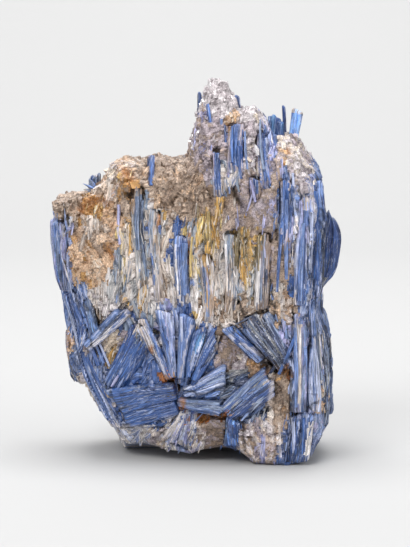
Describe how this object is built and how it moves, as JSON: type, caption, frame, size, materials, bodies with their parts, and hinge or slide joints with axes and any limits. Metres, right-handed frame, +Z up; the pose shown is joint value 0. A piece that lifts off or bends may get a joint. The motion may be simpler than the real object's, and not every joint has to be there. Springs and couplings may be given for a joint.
{
  "type": "kyanite blade cluster",
  "caption": "Mineral specimen: groups of blue kyanite blades grown through a milky, iron-stained quartz mass with a flat broken base.",
  "frame": {"origin": "on the flat base, under the middle of the bounding box", "axes": "+Z up from the base to the translucent tip, +X to the right seen from the front, +Y away from the front"},
  "size_m": [0.0978, 0.0566, 0.1246],
  "materials": {
    "quartz": "milky quartz, broken and grainy, with iron stains; translucent at the thin top",
    "deep_kyanite": "deep blue kyanite, striated along the blade, pearly on the flat faces",
    "blue_kyanite": "mid blue kyanite, striated along the blade, pearly on the flat faces",
    "pale_kyanite": "pale lilac-blue kyanite, striated along the blade, pearly on the flat faces",
    "grey_kyanite": "grey-blue fibrous kyanite with quartz grains between the fibres"
  },
  "bodies": {
    "root": {"quartz_matrix": "quartz", "crossing_blade": "blue_kyanite", "long_left_sheaf": "pale_kyanite", "left_strand": "blue_kyanite", "left_edge_sheaf": "blue_kyanite", "left_bulge_blades": "blue_kyanite", "inner_left_sheaf": "deep_kyanite", "upper_plate": "deep_kyanite", "lower_plate": "blue_kyanite", "fan_blade_left": "blue_kyanite", "fan_blade_pale": "pale_kyanite", "fan_blade_middle": "blue_kyanite", "fan_leaf_left": "deep_kyanite", "fan_leaf_right": "blue_kyanite", "right_fan_plate": "pale_kyanite", "sweeping_layers": "blue_kyanite", "foot_fan": "pale_kyanite", "short_slab": "blue_kyanite", "folded_blade": "blue_kyanite", "ragged_slabs": "deep_kyanite", "dark_sheaf": "grey_kyanite", "right_foot_sheaf": "blue_kyanite", "right_column_sheaf": "blue_kyanite", "pale_leaf": "pale_kyanite", "outer_edge_blades": "grey_kyanite", "right_tall_sheaf_1": "deep_kyanite", "right_tall_sheaf_2": "pale_kyanite", "right_tall_sheaf_3": "blue_kyanite", "right_tall_sheaf_4": "blue_kyanite", "back_flake": "deep_kyanite", "middle_sheaf_1": "deep_kyanite", "middle_sheaf_2": "blue_kyanite", "middle_sheaf_3": "blue_kyanite", "middle_sheaf_4": "grey_kyanite", "middle_sheaf_5": "grey_kyanite", "middle_sheaf_6": "grey_kyanite", "shoulder_blade": "deep_kyanite", "left_tuft": "deep_kyanite", "tower_blade_1": "blue_kyanite", "tower_blade_2": "pale_kyanite", "tower_sheaf_1": "blue_kyanite", "tower_sheaf_2": "blue_kyanite", "tower_sheaf_3": "pale_kyanite", "tower_sheaf_4": "blue_kyanite", "tower_bundle": "blue_kyanite", "tower_needle": "deep_kyanite", "tip_slab": "blue_kyanite", "back_sheaf_1": "deep_kyanite", "back_sheaf_2": "blue_kyanite", "back_sheaf_3": "blue_kyanite", "back_sheaf_4": "grey_kyanite", "back_sheaf_5": "deep_kyanite", "left_side_sheaf": "deep_kyanite", "right_side_sheaf": "blue_kyanite"}
  },
  "joints": []
}
